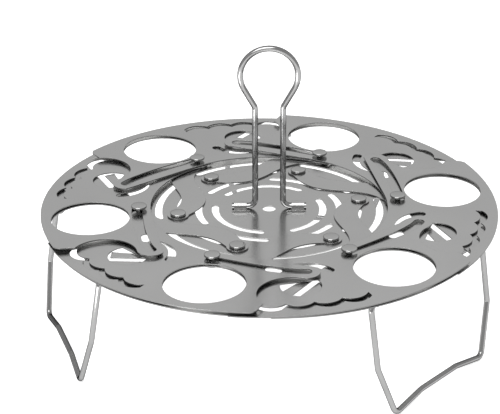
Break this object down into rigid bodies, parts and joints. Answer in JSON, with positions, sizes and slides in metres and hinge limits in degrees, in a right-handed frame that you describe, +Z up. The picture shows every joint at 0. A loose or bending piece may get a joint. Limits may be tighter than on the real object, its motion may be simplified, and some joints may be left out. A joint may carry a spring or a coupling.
{
  "type": "expanding steamer rack",
  "caption": "Flat round steaming rack with sliding stamped leaves that open like a flower, folding wire legs and a folding wire loop handle.",
  "frame": {"origin": "on the table, under the centre of the disc", "axes": "+Z up; +X along the hinge of the handle; -Y faces the picture's camera"},
  "size_m": [0.1887, 0.1881, 0.1215],
  "materials": {
    "sheet": "satin stamped stainless sheet",
    "rivets": "polished stainless heads",
    "wire": "polished round stainless wire"
  },
  "bodies": {
    "plate_centre": {"disc": "sheet", "disc_rivets": "rivets"},
    "handle_wire": {"handle": "wire"},
    "arm_1": {"link_1": "sheet", "pin_1": "rivets"},
    "petal_1": {"leaf_1": "sheet", "knuckles_1": "sheet"},
    "arm_2": {"link_2": "sheet", "pin_2": "rivets"},
    "petal_2": {"leaf_2": "sheet"},
    "arm_3": {"link_3": "sheet", "pin_3": "rivets"},
    "petal_3": {"leaf_3": "sheet", "knuckles_2": "sheet"},
    "arm_4": {"link_4": "sheet", "pin_4": "rivets"},
    "petal_4": {"leaf_4": "sheet"},
    "arm_5": {"link_5": "sheet", "pin_5": "rivets"},
    "petal_5": {"leaf_5": "sheet", "knuckles_3": "sheet"},
    "arm_6": {"link_6": "sheet", "pin_6": "rivets"},
    "petal_6": {"leaf_6": "sheet"},
    "stand_1": {"leg_1": "wire"},
    "stand_2": {"leg_2": "wire"},
    "stand_3": {"leg_3": "wire"}
  },
  "joints": [
    {"name": "arm_turn_1", "type": "hinge", "parent": "plate_centre", "child": "arm_1", "pos_m": [0.03742, 0.0066, 0.05087], "axis": [0, 0, 1], "range_deg": [0, 88]},
    {"name": "petal_turn_1", "type": "hinge", "parent": "arm_1", "child": "petal_1", "pos_m": [0.0308, -0.04399, 0.05152], "axis": [0, 0, 1], "range_deg": [-49.28, 0]},
    {"name": "arm_turn_2", "type": "hinge", "parent": "plate_centre", "child": "arm_2", "pos_m": [0.013, 0.03571, 0.05087], "axis": [0, 0, 1], "range_deg": [0, 88]},
    {"name": "petal_turn_2", "type": "hinge", "parent": "arm_2", "child": "petal_2", "pos_m": [0.0535, 0.00468, 0.05152], "axis": [0, 0, 1], "range_deg": [-49.28, 0]},
    {"name": "arm_turn_3", "type": "hinge", "parent": "plate_centre", "child": "arm_3", "pos_m": [-0.02443, 0.02911, 0.05087], "axis": [0, 0, 1], "range_deg": [0, 88]},
    {"name": "petal_turn_3", "type": "hinge", "parent": "arm_3", "child": "petal_3", "pos_m": [0.02269, 0.04867, 0.05152], "axis": [0, 0, 1], "range_deg": [-49.28, 0]},
    {"name": "arm_turn_4", "type": "hinge", "parent": "plate_centre", "child": "arm_4", "pos_m": [-0.03742, -0.0066, 0.05087], "axis": [0, 0, 1], "range_deg": [0, 88]},
    {"name": "petal_turn_4", "type": "hinge", "parent": "arm_4", "child": "petal_4", "pos_m": [-0.0308, 0.04399, 0.05152], "axis": [0, 0, 1], "range_deg": [-49.28, 0]},
    {"name": "arm_turn_5", "type": "hinge", "parent": "plate_centre", "child": "arm_5", "pos_m": [-0.013, -0.03571, 0.05087], "axis": [0, 0, 1], "range_deg": [0, 88]},
    {"name": "petal_turn_5", "type": "hinge", "parent": "arm_5", "child": "petal_5", "pos_m": [-0.0535, -0.00468, 0.05152], "axis": [0, 0, 1], "range_deg": [-49.28, 0]},
    {"name": "arm_turn_6", "type": "hinge", "parent": "plate_centre", "child": "arm_6", "pos_m": [0.02443, -0.02911, 0.05087], "axis": [0, 0, 1], "range_deg": [0, 88]},
    {"name": "petal_turn_6", "type": "hinge", "parent": "arm_6", "child": "petal_6", "pos_m": [-0.02269, -0.04867, 0.05152], "axis": [0, 0, 1], "range_deg": [-49.28, 0]},
    {"name": "handle_fold", "type": "hinge", "parent": "plate_centre", "child": "handle_wire", "pos_m": [0, 0, 0.05157], "axis": [1, 0, 0], "range_deg": [-85, 85]},
    {"name": "leg_fold_1", "type": "hinge", "parent": "petal_1", "child": "stand_1", "pos_m": [0.06087, -0.05404, 0.04875], "axis": [0.6639, 0.7478, 0], "range_deg": [0, 97]},
    {"name": "leg_fold_2", "type": "hinge", "parent": "petal_3", "child": "stand_2", "pos_m": [0.01637, 0.07974, 0.04875], "axis": [-0.9796, 0.2011, 0], "range_deg": [0, 97]},
    {"name": "leg_fold_3", "type": "hinge", "parent": "petal_5", "child": "stand_3", "pos_m": [-0.07724, -0.02569, 0.04875], "axis": [0.3156, -0.9489, 0], "range_deg": [0, 97]}
  ],
  "couplings": [
    {"joint": "petal_turn_1", "follows": "arm_turn_1", "ratio": -0.56},
    {"joint": "arm_turn_2", "follows": "arm_turn_1", "ratio": 1},
    {"joint": "petal_turn_2", "follows": "arm_turn_1", "ratio": -0.56},
    {"joint": "arm_turn_3", "follows": "arm_turn_1", "ratio": 1},
    {"joint": "petal_turn_3", "follows": "arm_turn_1", "ratio": -0.56},
    {"joint": "arm_turn_4", "follows": "arm_turn_1", "ratio": 1},
    {"joint": "petal_turn_4", "follows": "arm_turn_1", "ratio": -0.56},
    {"joint": "arm_turn_5", "follows": "arm_turn_1", "ratio": 1},
    {"joint": "petal_turn_5", "follows": "arm_turn_1", "ratio": -0.56},
    {"joint": "arm_turn_6", "follows": "arm_turn_1", "ratio": 1},
    {"joint": "petal_turn_6", "follows": "arm_turn_1", "ratio": -0.56}
  ]
}
